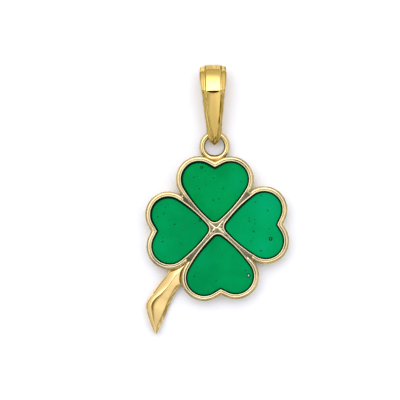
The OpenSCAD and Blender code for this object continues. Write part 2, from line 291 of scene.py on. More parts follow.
def web():
    """The flat X between the rims: rays from the clover's centre that end inside the first rim they meet, or at the
    web's end, where a lower shelf runs on. Near the centre a low rib runs along the middle of each arm, and a dark
    line of painted shade lies along the lips. The grey of the web is a painted dim reflection, less on the rib, and
    its ends are painted dark with shade."""
    turn = steps(0, TURN, WEB_RAYS)
    ray = np.linspace(0, WEB_LOW_END, WEB_STEPS)[:, None]
    nearest = np.min([leaf_offset(leaf, ray * np.cos(turn), ray * np.sin(turn)) for leaf in LEAVES], 0)
    inside = nearest < -WEB_IN
    inside[-1] = True
    wall = ray[inside.argmax(0), 0]
    arm = (turn // (math.pi / 2)).astype(int)
    top = np.minimum(wall, WEB_ENDS[arm])
    radius = np.concatenate([WEB_SHARES * top, [top - END_W, top - END_FOOT, top, wall, wall, wall / 2]])
    flat = len(WEB_SHARES)
    x, y = radius * np.cos(turn), radius * np.sin(turn)
    near = np.sort([leaf_offset(leaf, x, y) for leaf in LEAVES], 0)
    aside = (near[1] - near[0]) / 2
    level = [WEB_Z] * (flat + 1) + [WEB_Z - END_DROP, WEB_LOW + END_DROP, WEB_LOW, WEB_BACK, WEB_BACK]
    on_flat = (np.arange(len(radius)) < flat)[:, None]
    rib = hump(aside, WEB_RIB_W) * (1 - eased(radius, *WEB_RIB_ENDS)) * on_flat
    pits = on_flat * spots(x, y, on_clover(PIT_PIXELS), PIT_SPREAD)
    z = np.array(level)[:, None] + WEB_RIB * rib - PIT_DEEP * pits
    # The web's ends are painted dark with shade, a painted line of shade runs along the lips, and the pits are dark
    dark = np.array([0.0] * flat + [0.9, 1.0, 1.0, 0.8, 0.6, 0.5])[:, None]
    dark = np.minimum(dark + LIP_DARK * on_flat * hump(near[0] - LIP_AT, LIP_W) + PIT_DARK * pits, PIT_DARK)
    # The grey is a painted dim reflection of the dark overhead, lighter on the rib; the same value makes the web
    # rougher
    grey = (1 + (ARM_GREY[arm] - 1) * eased(radius, *GREY_FROM)) * (1 - GREY_LESS * eased(radius, *GREY_ENDS))
    dull_and_shaded = np.array([1.0] * (flat + 1) + [0.5, 0, 0, 0, 0])[:, None] * (1 - RIB_BRIGHT * rib) * grey
    points = np.concatenate([np.stack([x, y, z], -1).reshape(-1, 3),
                             [[0, 0, WEB_Z + WEB_RIB], [0, 0, WEB_BACK]]])
    marks = {"across": aside, "along": radius, "dark": dark, "dull_and_shaded": dull_and_shaded}
    return points, capped_faces(len(radius), WEB_RAYS), listed(marks, True)


RING_R, RING_WIRE = 1.31, 0.51
RING_Y = TIPS["top"] + RING_R + LEAF_LEN \
    + (LOBE_R + WALL_W / 2 - LOBE_GAP * math.cos(NOTCH_ANGLE)) / math.sin(NOTCH_ANGLE)
RING_STEPS, WIRE_STEPS = 128, 36
# How much the solder thickens the wire, and where
SOLDER, SOLDER_AT, SOLDER_W = 0.05, 0.75 * TURN, 0.5
# How dark the ring is painted inside, more so towards its top, and outside, each by sine or cosine: painted
# shadow on the inside, deepest under the bail, and painted dark reflection at the outer edge
IN_DARK, IN_AT, UP_DARK, UP_AT, OUT_DARK, OUT_AT = 1.3, (0.55, 0.88), 0.7, (-0.3, 0.5), 0.6, (0.8, 0.97)


def ring():
    """The hanging ring: a round wire bent into a circle, a little thicker with solder where it meets the rim."""
    turn = steps(0, TURN, RING_STEPS)[:, None]
    section = steps(0, TURN, WIRE_STEPS)
    wire = RING_WIRE / 2 + SOLDER * hump(turn - SOLDER_AT, SOLDER_W)
    radius = RING_R - RING_WIRE / 2 + wire * np.cos(section)
    z = FRAME_T / 2 + wire * np.sin(section)
    points = np.stack([radius * np.cos(turn), RING_Y + radius * np.sin(turn), z], -1).reshape(-1, 3)
    # Painted shadow on the wire's inner side, deepest at the top under the bail, and painted dark reflection outside
    dark = (IN_DARK + UP_DARK * eased(np.sin(turn), *UP_AT)) * eased(-np.cos(section), *IN_AT) \
        + OUT_DARK * eased(np.cos(section), *OUT_AT)
    marks = {"across": wire * section, "along": turn * RING_R + 0 * section, "dark": dark}
    return points, [sheet_faces(RING_STEPS, WIRE_STEPS, True)], listed(marks)


# The stalk's size, its walls' breadth right and left, the right one's slope, its facets' slopes, and the share of
# the height at which it is widest
STEM_L, STEM_W, STEM_T = 6.4, 2.05, 1.28
STEM_SIDES, WALL_SLOPE, STEM_SLOPES, STEM_WIDEST = (0.31, 0.16), 1.05, (0.51, 0.5), 0.3
STEM_ROOT_ANGLE, STEM_ANGLE = math.radians(230.1), math.radians(246.8)
STEM_PLACES = 165
# Places up the right facet, steps out and down of the left shoulder, and the corners' rounding
FACET_PLACES = (0.2, 0.4, 0.55, 0.68, 0.79, 0.88, 0.95)
SHOULDER = ((0, 0), (0.02, 0.05), (0.065, 0.04), (0.12, 0.06))
STEM_RADII = [0.03, 0.1, 0.06] + [0.02] * 7 + [0.018, 0.015, 0.01, 0.01, 0.02, 0.1, 0.03]
# With which share the right wall and the facets' slopes start, and between which places they grow
WALL_GROWS, RIGHT_GROWS, LEFT_GROWS = (0.3, 0.22, 0.34), (0.75, 0.22, 0.36), (0.7, 0.08, 0.26)
# The hollow beside the ridge, the dark line at it, each with where it starts and ends, and the dark of the walls
# and the left shoulder. All the dark is painted: shade in the hollow and on the ridge and shoulder lines, and
# dark reflection on the walls
HOLLOW, HOLLOW_DARK, HOLLOW_AT = 0.12, (0.35, 0.9, 0.9), ((0.34, 0.5), (0.8, 0.95))
RIDGE_DARK, RIDGE_AT = 1.1, ((0.12, 0.2), (0.82, 0.92))
WALLS_DARK, SHOULDER_DARK, SHOULDER_MORE, SHOULDER_AT = (0.85, 0.4), 1.2, 0.6, (0.45, 0.55)
# Place along the stalk, then its right edge, ridge and left edge, as shares of its length and breadth
STEM = np.array([
    [-0.03, -0.03, 0.05, 0.18], [0.03, -0.01, 0.105, 0.3], [0.09, 0.0, 0.16, 0.53], [0.13, -0.02, 0.208, 0.588],
    [0.19, -0.08, 0.28, 0.63], [0.25, -0.12, 0.33, 0.68],
    [0.31, -0.05, 0.37, 0.74], [0.38, 0.0, 0.43, 0.81], [0.49, 0.035, 0.57, 0.89], [0.555, 0.04, 0.69, 0.94],
    [0.615, 0.04, 0.755, 0.985], [0.68, 0.04, 0.755, 0.994], [0.735, 0.045, 0.67, 0.935], [0.8, 0.05, 0.55, 0.8],
    [0.87, 0.065, 0.4, 0.61], [0.93, 0.08, 0.27, 0.43], [1.0, 0.128, 0.17, 0.21]])


# Over how much of its length a table is smoothed, and up to which angle of a cosine
SMOOTH_OVER, SMOOTH_STEPS, SMOOTH_ANGLE = 0.025, 11, 1.3


def smooth_columns(table, places):
    """The table's columns at many places: straight lines between its rows, averaged over a short stretch."""
    reach = np.linspace(-SMOOTH_OVER, SMOOTH_OVER, SMOOTH_STEPS)
    weight = np.cos(reach / SMOOTH_OVER * SMOOTH_ANGLE)
    at = np.clip(places[:, None] + reach, table[0, 0], table[-1, 0])
    return [(np.interp(at, table[:, 0], column) * weight).sum(1) / weight.sum() for column in table.T[1:]]


def grown(value, share, low, high):
    """The share up to low, 1 from high, and a smooth step between them."""
    return share + (1 - share) * eased(value, low, high)


def stretch(value, start, end):
    """1 between start and end and 0 outside, with smooth steps at both."""
    return eased(value, *start) * (1 - eased(value, *end))


def stem():
    """The stalk: at each place along it a section with a ridge, a sloping facet on each side of it, a shoulder and
    a side wall. Over the lower part the right facet grows steeper just beside the ridge: a share of its height goes
    with the eighth power of the way up."""
    place = np.linspace(STEM[0, 0], STEM[-1, 0], STEM_PLACES)
    right, ridge, left = (edge * STEM_W for edge in smooth_columns(STEM, place))
    share = np.minimum(1, (left - right) / sum(STEM_SIDES) / 2)
    right_side = share * STEM_SIDES[0] * grown(place, *WALL_GROWS)
    right_in, left_in = right + right_side, left - share * STEM_SIDES[1]
    flat = 0 * place
    low = STEM_T - STEM_SLOPES[0] * grown(place, *RIGHT_GROWS) * (ridge - right_in)
    high = STEM_T - STEM_SLOPES[1] * grown(place, *LEFT_GROWS) * (left_in - ridge)
    beside = stretch(place, *HOLLOW_AT)
    hollow = HOLLOW * beside
    corners = [(right + right_side / 2, flat), (right, low - WALL_SLOPE * right_side), (right_in, low)]
    corners += [(right_in + (ridge - right_in) * up, low + (STEM_T - low) * ((1 - hollow) * up + hollow * up ** 8))
                for up in FACET_PLACES]
    corners += [(ridge, STEM_T + flat)] + [(left_in + share * out, high - down) for out, down in SHOULDER]
    corners += [(left, STEM_WIDEST * STEM_T + flat), (left - share * STEM_SIDES[1] / 2, flat)]
    section = rounded(np.array([np.stack(corner, -1) for corner in corners]), STEM_RADII)
    aside, z = section[..., 0].T, np.maximum(section[..., 1].T, 0)
    root = (FORK_R + 0.1) * np.array([math.cos(STEM_ROOT_ANGLE), math.sin(STEM_ROOT_ANGLE)])
    along = place[:, None] * STEM_L + 0 * aside
    x, y = turned(along, -aside, STEM_ANGLE)
    points = np.stack([root[0] + x, root[1] + y, z], -1)
    ends = [points[0].mean(0), points[-1].mean(0)]
    # Corner 2 ends the right wall, 3 to 9 lie on its facet, 10 is the ridge, and 11 to 14 are the left shoulder
    first = CORNER_STEPS * np.arange(len(corners))
    # The dark is painted: dark reflection on the side walls, shade on the left shoulder, in the hollow and on the ridge
    dark = np.zeros_like(aside)
    dark[:, :first[2] + 1] = WALLS_DARK[0]
    dark[:, first[11] + 2:first[13] + 2] = SHOULDER_DARK + SHOULDER_MORE * (1 - eased(place[:, None], *SHOULDER_AT))
    dark[:, first[14] + 2:] = WALLS_DARK[1]
    for corner, level in enumerate(HOLLOW_DARK, 7):
        dark[:, first[corner]:first[corner + 1]] = level * beside[:, None]
    line = RIDGE_DARK * stretch(place[:, None], *RIDGE_AT)
    dark[:, first[9]:first[10] + 2] = np.maximum(dark[:, first[9]:first[10] + 2], line)
    marks = {"across": aside - ridge[:, None], "along": along, "dark": dark}
    return np.concatenate([points.reshape(-1, 3), ends]), capped_faces(*aside.shape), listed(marks, True)


def outward(points, faces):
    """A closed shape's faces, turned round if the volume under them is negative."""
    volume = sum(np.einsum("ij,ij->", points[part[:, 0]], np.cross(points[part[:, k]], points[part[:, k + 1]]))
                 for part in faces for k in range(1, part.shape[1] - 1))
    return [part[:, ::-1] for part in faces] if volume < 0 else faces


def made(name, shapes, *materials):
    """A mesh object at the origin from closed shapes, each with its points in millimetres, its faces and its named
    values at the points, 0 where it has none of a name."""
    faces, first = [], 0
    for points, parts, _ in shapes:
        faces += sum(((part + first).tolist() for part in outward(points, parts)), [])
        first += len(points)
    mesh = bpy.data.meshes.new(name)
    mesh.from_pydata((np.concatenate([points for points, _, _ in shapes]) * MM).tolist(), [], faces)
    mesh.polygons.foreach_set("use_smooth", np.ones(len(mesh.polygons), bool))
    for label in dict.fromkeys(label for _, _, marks in shapes for label in marks):
        values = np.concatenate([marks.get(label, np.zeros(len(points))) for points, _, marks in shapes])
        mesh.attributes.new(label, "FLOAT", "POINT").data.foreach_set("value", values.astype(np.float32))
    for material in materials:
        mesh.materials.append(material)
    mesh.update()
    piece = bpy.data.objects.new(name, mesh)
    bpy.context.scene.collection.objects.link(piece)
    return piece


def feed(tree, node, inputs):
    """Set each of a node's inputs to a value, or link it to another node's output."""
    for label, value in inputs.items():
        if isinstance(value, bpy.types.NodeSocket):
            tree.links.new(value, node.inputs[label])
        else:
            node.inputs[label].default_value = value


def added(tree, kind, inputs, output=0, **settings):
    """The output of a new node with these inputs and settings."""
    node = tree.nodes.new("ShaderNode" + kind)
    for label, value in settings.items():
        setattr(node, label, value)
    feed(tree, node, inputs)
    return node.outputs[output]


def eased_range(tree, value, low, high, start=0.0, end=1.0):
    """A Map Range node that goes smoothly from start at low to end at high."""
    return added(tree, "MapRange", {"Value": value, "From Min": low, "From Max": high, "To Min": start,
                                    "To Max": end}, interpolation_type="SMOOTHSTEP")


def maths(tree, operation, *values):
    """A Math node for two or three values."""
    return added(tree, "Math", dict(enumerate(values)), operation=operation)


def colour_mix(tree, share, *colours):
    """A Mix node for two colours, with its share at input 0, its colours at 6 and 7 and its result at output 2."""
    first, second = (colour + (1,) if isinstance(colour, tuple) else colour for colour in colours)
    return added(tree, "Mix", {0: share, 6: first, 7: second}, 2, data_type="RGBA")


def noise(tree, place, scale, detail=2, roughness=0.5):
    """A Noise Texture node."""
    return added(tree, "TexNoise", {"Vector": place, "Scale": scale, "Detail": detail, "Roughness": roughness})


def point_values(tree, *labels):
    """Attribute nodes for the named values at the points."""
    return [added(tree, "Attribute", {}, "Fac", attribute_name=label) for label in labels]


def new_material(name):
    """A new material, its node tree and its shader."""
    material = bpy.data.materials.new(name)
    material.use_nodes = True
    return material, material.node_tree, material.node_tree.nodes["Principled BSDF"]


# Scales of the clouds and the grain, per metre, and of the streaks, per millimetre, and their shift with the clouds
CLOUD_SCALE, GRAIN_SCALE, STREAK_ACROSS, STREAK_ALONG, STREAK_SHIFT = 600, 9000, 8, 0.6, 5
# Between which strengths of the streaks grey and brown weaken, and from what to what
GREY_BREAKS, BROWN_BREAKS = (0.4, 0.62, 1.0, 0.6), (0.42, 0.62, 1.0, 0.35)
DULL_ROUGH, DARK_ROUGH, GRAIN_HEIGHT = 0.16, 0.22, 0.04


def gold_finish():
    """Node group for cast and polished gold. Its tone drifts slowly from a light to a deep gold on Object coordinates
    and with the value rich, which paints highlight and shade across a rim. Fine streaks run along each part, from the
    values across and along. Places marked dull are rougher and painted greyer, a painted dim reflection. Places marked
    dark are painted brown, mostly painted shade and dark reflection, and also the darker seams, pits and groove,
    broken up by the streaks."""
    tree = bpy.data.node_groups.new("polished_gold", "ShaderNodeTree")
    for label, value in (("Light tone", (1.0, 0.78, 0.4, 1)), ("Deep tone", (0.95, 0.66, 0.26, 1)),
                         ("Dull and shaded tone", (0.45, 0.415, 0.27, 1)), ("Dark tone", (0.12, 0.075, 0.015, 1)),
                         ("Roughness", 0.13), ("Streaks", 1.0)):
        kind = "NodeSocketColor" if label.endswith("tone") else "NodeSocketFloat"
        tree.interface.new_socket(label, in_out="INPUT", socket_type=kind).default_value = value
    for label, kind in (("Color", "Color"), ("Roughness", "Float"), ("Height", "Float")):
        tree.interface.new_socket(label, in_out="OUTPUT", socket_type="NodeSocket" + kind)
    given = tree.nodes.new("NodeGroupInput").outputs
    place = added(tree, "TexCoord", {}, "Object")
    across, along, dark, dull_and_shaded, rich = point_values(tree, "across", "along", "dark", "dull_and_shaded", "rich")
    cloud, grain = noise(tree, place, CLOUD_SCALE), noise(tree, place, GRAIN_SCALE)
    lines = [maths(tree, "MULTIPLY", value, scale)
             for value, scale in ((across, STREAK_ACROSS), (along, STREAK_ALONG), (cloud, STREAK_SHIFT))]
    streak = noise(tree, added(tree, "CombineXYZ", dict(enumerate(lines))), 1)
    grey = maths(tree, "MULTIPLY", dull_and_shaded, eased_range(tree, streak, *GREY_BREAKS))
    brown = maths(tree, "MULTIPLY", dark, eased_range(tree, streak, *BROWN_BREAKS))
    tone = colour_mix(tree, maths(tree, "ADD", cloud, rich), given["Light tone"], given["Deep tone"])
    tone = colour_mix(tree, brown, colour_mix(tree, grey, tone, given["Dull and shaded tone"]), given["Dark tone"])
    rough = maths(tree, "MULTIPLY_ADD", dull_and_shaded, DULL_ROUGH, given["Roughness"])
    rough = maths(tree, "MULTIPLY_ADD", dark, DARK_ROUGH, rough)
    height = maths(tree, "MULTIPLY_ADD", grain, GRAIN_HEIGHT, maths(tree, "MULTIPLY", streak, given["Streaks"]))
    feed(tree, tree.nodes.new("NodeGroupOutput"), {"Color": tone, "Roughness": rough, "Height": height})
    return tree


GOLD_FINISH = gold_finish()
# How high the streaks stand
STREAK_HIGH = 0.004


def gold(name, light, deep, dark, roughness, streaks):
    """A gold material from the shared finish, with its own tones, roughness and strength of streaks."""
    material, tree, shader = new_material(name)
    finish = added(tree, "Group", {"Light tone": light + (1,), "Deep tone": deep + (1,), "Dark tone": dark + (1,),
                                   "Roughness": roughness, "Streaks": streaks}, node_tree=GOLD_FINISH).node.outputs
    bump = added(tree, "Bump", {"Distance": STREAK_HIGH * MM, "Height": finish["Height"]})
    feed(tree, shader, {"Base Color": finish["Color"], "Roughness": finish["Roughness"], "Metallic": 1.0,
                        "Normal": bump})
    return material


# Light, deep and dark tone, roughness and streaks of the rims and the web, of the ring and of the stalk. The rims'
# paler tones are a painted highlight on the same gold, and the dark tones colour the painted shade
CLOVER_GOLDS = {"rim_gold": ((0.79, 0.69, 0.395), (0.73, 0.54, 0.185), (0.07, 0.042, 0.009), 0.07, 1.0),
                "ring_gold": ((0.78, 0.615, 0.25), (0.7, 0.535, 0.205), (0.06, 0.035, 0.006), 0.08, 0.5),
                "stem_gold": ((0.98, 0.72, 0.325), (0.95, 0.66, 0.26), (0.25, 0.17, 0.012), 0.07, 0.2)}
parts = [[rim(leaf) for leaf in LEAVES] + [web()], [ring()], [stem()]]
clover = made("gold_clover", sum(parts, []), *(gold(label, *tones) for label, tones in CLOVER_GOLDS.items()))
counts = [sum(len(some) for _, faces, _ in part for some in faces) for part in parts]
clover.data.polygons.foreach_set("material_index", np.repeat([0, 1, 2], counts).astype(np.int32))
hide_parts("clover_frame")
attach(clover, "root")

# The enamel: a clear green enamel poured into each leaf and cured. It lies a little below the rim and climbs at the
# wall, where a painted shadow of the rim turns it nearly black, most at the upper left. The right leaf's green is
# lighter, and all fills have paler patches, those on the right leaf a painted reflection.
ENAMEL_CLEAR, ENAMEL_DROP, ENAMEL_BACK = 0.02, 0.25, 0.12
# The climb at the wall and its reach, and the middle of the loops: its place along the leaf and its distance in
ENAMEL_CLIMB, CLIMB_REACH, ENAMEL_MIDDLE, MIDDLE_FAR = 0.004, 0.06, 0.62, 1.5
EDGE_STEPS = np.array([0, 0.015, 0.03, 0.05, 0.075, 0.105, 0.14, 0.18, 0.23, 0.29, 0.36])
INNER_STEPS = np.linspace(1, 0, 15)[1:-1]
# The painted shadow line at the wall: its breadth, how much wider it gets and towards which side, the side of the
# light, and where it fades
EDGE_LINE, EDGE_LINE_MORE, EDGE_SIDE, EDGE_FADE = 0.11, 0.07, math.radians(125), (0.65, 1.3)
# Places where a fill's green is paler, in millimetres from the clover's centre, with their spread and strength. On
# the right leaf they are a painted reflection of the light
PALE_PATCHES = {"top": [(1.9, 3.9, 0.9, 0.5)], "right": [(4.3, 2.0, 1.3, 0.45), (3.95, -1.55, 0.6, 0.4)],
        "bottom": [(-1.2, -2.6, 0.9, 0.4)], "left": [(-4.6, -1.4, 0.9, 0.4)]}


def enamel_surface(leaf):
    """One fill: its side wall and underside, then its top in loops that run parallel to the wall and further in
    shrink to the middle. The top's height is its level plus a climb that dies away from the wall with e to the
    power of minus the distance over the climb's reach."""
    long = LEAVES[leaf][3]
    wall = -WALL_W / 2 - ENAMEL_CLEAR
    level = FRAME_T - ENAMEL_DROP
    middle = np.array([0.0, ENAMEL_MIDDLE * long * LEAF_LEN])
    outer = heart_curve(wall - EDGE_STEPS, long)
    inner = middle + (outer[-1] - middle) * INNER_STEPS[:, None, None]
    from_wall = np.concatenate([[0, 0], EDGE_STEPS, EDGE_STEPS[-1] + (1 - INNER_STEPS) * MIDDLE_FAR])[:, None]
    loops = set_leaf(leaf, np.concatenate([outer[:1], outer[:1], outer, inner]))
    z = np.concatenate([[ENAMEL_BACK, (ENAMEL_BACK + level) / 2],
                        level + ENAMEL_CLIMB * np.exp(-from_wall[2:, 0] / CLIMB_REACH)])[:, None]
    # The painted shadow line is wider where the wall lies towards the upper left, where the light comes from
    outwards = loops[0] - loops[-1]
    side = np.maximum(0, np.cos(np.arctan2(outwards[:, 1], outwards[:, 0]) - EDGE_SIDE)) ** 1.5
    edge = 1 - eased(from_wall / (EDGE_LINE + EDGE_LINE_MORE * side), *EDGE_FADE)
    # Paler patches of green: on the right leaf a painted reflection, elsewhere just paler
    thin = sum((share * hump(np.hypot(loops[..., 0] - x, loops[..., 1] - y), spread)
                for x, y, spread, share in PALE_PATCHES[leaf]), 0 * edge)
    centre = set_leaf(leaf, middle)
    points = np.concatenate([np.concatenate([loops, (z + 0 * side)[..., None]], 2).reshape(-1, 3),
                             [[*centre, ENAMEL_BACK], [*centre, level]]])
    marks = {"edge": np.append(edge, [1, 0]), "thin": np.append(thin, [0, thin[-1, 0]])}
    return points, capped_faces(*edge.shape), marks


def enamel_material(name, clear, deep, pale, edge):
    """Glossy green: clouds between two greens, a paler green at the paler patches, on the right leaf a painted
    reflection, and a near-black line of painted shadow where the value edge is high."""
    material, tree, shader = new_material(name)
    # The value thin marks the paler patches, on the right leaf a painted reflection
    thin, at_edge = point_values(tree, "thin", "edge")
    cloud = noise(tree, added(tree, "TexCoord", {}, "Object"), ENAMEL_CLOUDS, 5, 0.6)
    green = colour_mix(tree, eased_range(tree, cloud, *CLOUDS_AT), deep, clear)
    green = colour_mix(tree, at_edge, colour_mix(tree, thin, green, pale), edge)
    feed(tree, shader, {"Base Color": green, "Roughness": ENAMEL_ROUGH, "IOR": 1.5})
    return material


# The clouds' scale, per metre, and the strengths between which the green goes from deep to clear
ENAMEL_CLOUDS, CLOUDS_AT, ENAMEL_ROUGH = 420, (0.35, 0.68), 0.05
# The near-black green of the painted shadow at the wall
EDGE_GREEN = (0.0008, 0.008, 0.002)
# The clear, the deep and the pale green of each leaf
LEAF_GREENS = {"top": ((0.0003, 0.32, 0.0715), (0.0002, 0.262, 0.054), (0.001, 0.36, 0.12)),
               "right": ((0.0003, 0.354, 0.0975), (0.0002, 0.307, 0.08), (0.002, 0.42, 0.17)),
               "bottom": ((0.0003, 0.312, 0.077), (0.0002, 0.255, 0.0595), (0.001, 0.34, 0.11)),
               "left": ((0.0003, 0.323, 0.08), (0.0002, 0.269, 0.0635), (0.001, 0.35, 0.11))}
for leaf in LEAVES:
    green = enamel_material("enamel_" + leaf, *LEAF_GREENS[leaf], EDGE_GREEN)
    fill = made("green_" + leaf, [enamel_surface(leaf)], green)
    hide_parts("enamel_" + leaf)
    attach(fill, "root")

# Air bubbles and specks in the enamel: small round bubbles caught under the cured surface, each a dark ring round a
# lighter middle, the largest with a painted highlight in it, and dark specks. Each is a thin lens sunk into the
# surface.
BUBBLE_PIXELS = [(248.5, 275.4), (270.5, 238.8), (200.0, 220.2), (201.6, 167.2)]
BUBBLE_R = np.array([0.17, 0.16, 0.13, 0.12])
# How much painted highlight lies in each bubble's middle
BUBBLE_HIGHLIGHT = np.array([1.0, 0.02, 0.0, 0.0])
SPECK_PIXELS = [(194, 177.3), (197.2, 176.2), (213.3, 177.9), (199.4, 188.6), (223.3, 188.4), (213.3, 200.1),
                (218.9, 198.7), (163.6, 213.3), (157.7, 216.6), (165.2, 207.4), (162.5, 241.5), (181, 243.2),
                (174.5, 224.2), (249.3, 220.9), (253.6, 231.2), (255.3, 202), (267.7, 210.6), (260.9, 250.7),
                (245.2, 270.3), (216.2, 280.6), (194.5, 276.2), (208.1, 291.4)]
SPECK_R = 1.7 * np.array([0.055, 0.045, 0.05, 0.06, 0.05, 0.06, 0.05, 0.06, 0.05, 0.045, 0.06, 0.05, 0.07, 0.055,
                          0.065, 0.045, 0.05, 0.06, 0.06, 0.055, 0.075, 0.05])
FAINT_PIXELS = [(156.4, 208.8), (161.9, 204.9), (167.8, 203.9), (183.6, 225.1), (162.9, 237.5), (182.6, 244.9),
                (165.3, 256.3), (170.3, 261.7), (178.2, 235.5), (195, 223.7), (205.4, 170.8), (205.9, 185.1),
                (197.5, 185.6), (233.5, 169.8), (211.8, 210.8), (241, 181.6), (261.2, 195.5), (248.9, 218.2),
                (254.8, 219.2), (252.8, 238), (250.9, 241), (269.1, 228.6), (254.8, 223.7), (208.3, 276.1),
                (213.3, 287.4), (222.2, 254.8), (197.5, 266.7)]
FAINT_R = 0.085
LENS_LIFT, LENS_UP, LENS_DOWN, LENS_ROUND = 0.001, 0.001, 0.03, 24
LENS_SHARES = np.array([0.2, 0.4, 0.55, 0.7, 0.85, 0.96, 1.0, 1.0])[:, None]


def lens(centre, radius, light):
    """A thin lens: loops at growing shares of its radius, highest in the middle, closed by a point below. Its height
    falls with the square of the share."""
    turn = steps(0, TURN, LENS_ROUND)
    level, share = FRAME_T - ENAMEL_DROP + LENS_LIFT, LENS_SHARES + 0 * turn
    z = level + LENS_UP * (1 - share ** 2)
    z[-1] = level - LENS_DOWN / 2
    loops = np.stack([centre[0] + radius * share * np.cos(turn), centre[1] + radius * share * np.sin(turn), z], -1)
    points = np.concatenate([loops.reshape(-1, 3), [[*centre, level + LENS_UP], [*centre, level - LENS_DOWN]]])
    return points, capped_faces(*share.shape), {"share": np.append(share, [0, 1]), "light": np.full(len(points), light)}


def bubble_material(name, middle, bright, dark, rim_from, rim_to):
    """Green from the middle out by the value share: the middle's colour, brighter by the value light, which is a
    painted highlight on a bubble and a paler tone on a faint speck, to dark between two shares."""
    material, tree, shader = new_material(name)
    share, light = point_values(tree, "share", "light")
    inner = colour_mix(tree, light, middle, bright)
    green = colour_mix(tree, eased_range(tree, share, rim_from, rim_to), inner, dark)
    feed(tree, shader, {"Base Color": green, "Roughness": ENAMEL_ROUGH})
    return material


bubbles = made("enamel_bubbles", [lens(*spot) for spot in zip(on_clover(BUBBLE_PIXELS), BUBBLE_R, BUBBLE_HIGHLIGHT)],
               bubble_material("bubble_green", (0.001, 0.33, 0.1), (0.45, 0.75, 0.6), (0.0008, 0.03, 0.008),
                               0.32, 0.55))
specks = made("enamel_specks", [lens(*spot, 0) for spot in zip(on_clover(SPECK_PIXELS), SPECK_R)]
              + [lens(place, FAINT_R, 1) for place in on_clover(FAINT_PIXELS)],
              bubble_material("speck_green", (0.0004, 0.05, 0.014), (0.0004, 0.16, 0.042), (0.0004, 0.28, 0.065),
                              0.0, 1.0))
for piece in (bubbles, specks):
    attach(piece, "root")

# The bail: a tapered gold strap, bent round the ring and closed at its tip, with a raised panel down its middle
# and a bevel on each side. The round top ends in a crescent-shaped facet, where the straight front begins, and the
# two ends of the strap meet in a small V at the tip.
BAIL_L, BAIL_W, ARCH_R, BAIL_T, BAIL_BEVEL = 6.8698, 2.3, 1.5999, 0.36, 0.13
END_R = RING_WIRE / 2 + 0.045 + BAIL_T
END_Y = RING_Y + RING_R - RING_WIRE / 2 - 0.35
ARCH_Y = END_Y - END_R + BAIL_L - ARCH_R
CREASE_Y, CREASE_TILT = ARCH_Y - 0.62, math.radians(7)
BELOW_AT, ABOVE_AT = (CREASE_Y - 0.5, CREASE_Y), (CREASE_Y - 0.1, CREASE_Y + 0.1)
CRESCENT_X, CRESCENT_W, CRESCENT_L, CRESCENT_LEAST = -0.02, 0.6, 0.22, 0.012
BAIL_WIDTH = np.array([[0, 0.16], [0.03, 0.28], [0.09, 0.47], [0.17, 0.545], [0.285, 0.6], [0.425, 0.705],
                       [0.56, 0.79], [0.655, 0.85], [0.75, 0.92], [0.83, 0.99], [0.915, 1.0], [1, 0.95]])
BAIL_PANEL = np.array([[0, 0.04], [0.03, 0.05], [0.09, 0.1], [0.17, 0.22], [0.285, 0.36], [0.425, 0.46],
                       [0.56, 0.54], [0.655, 0.56], [0.75, 0.57], [1, 0.57]])
# The groove at the panel's border: breadth, depth and spread of its painted shade. Then edges' rounding and
# front's bulge
BORDER, BORDER_DEEP, BORDER_W, EDGE_ROUND, BAIL_BULGE = 0.034, 0.045, 1.3 * 0.034, 0.03, 0.05
# The panel's crown, as a depth at a distance, the step beside it, and the low rib on a bevel that is wide enough
CROWN, CROWN_AT, STEP_DOWN, STEP_W = 0.02, 0.6, 0.02, 0.04
RIB_UP, RIB_AT, RIB_W, RIB_WIDE = 0.018, 0.09, 0.035, (0.15, 0.25)
# The seam at the tip, the dark line on the panel's right border and the nick on the left bevel
SEAM, SEAM_W, SEAM_DEEP = np.array([[-0.11, 7.32], [0.11, 7.66], [0.24, 7.25]]), 0.05, 0.06
RIGHT_LINE_AT = (8.7, 9.1), (11.2, 11.3)
NICK, NICK_R, NICK_DEEP = (-0.83, 11.48), 0.08, 0.04
# How dark borders, the right border's line, seam, nick, side walls and the steep top of the arch are, and the most in
# all. On the borders the dark is painted shade, on the side walls and the steep top painted dark reflection
BAIL_DARK, DARK_MOST, RIGHT_LINE_MORE = (0.35, 2.0, 1.3, 1.2, 0.45, 0.45), 1.3, 0.7
# Between which tilts the top is painted dark, a painted dark reflection, and how much less so on the left bevel
STEEP_AT, STEEP_LESS = (math.radians(40), math.radians(50)), 0.7
# Painted soft shades by the panel's borders: 0 below and 1 above the crease, side of the panel, strength, distance
# further right and spread. Then the painted shades on the right and left bevel, and one at the crease
SHADES = ((0, -1, 0.4, 0.06, 0.1), (1, 1, 0.5, 0.06, 0.07), (1, -1, 0.6, 0.0, 0.05))
BEVEL_SHADES, BEVEL_W = ((1, 0.5), (-1, 0.25)), 0.05
CREASE_SHADE, CREASE_SHADE_AT, CREASE_SHADE_W = 0.35, (-0.12, -0.24), (0.25, 0.09)
BACK_STEPS, BEHIND_STEPS, OVER_STEPS, FACET_STEPS, FRONT_STEPS, END_STEPS, OVER_TRIES = 40, 50, 90, 6, 90, 70, 12


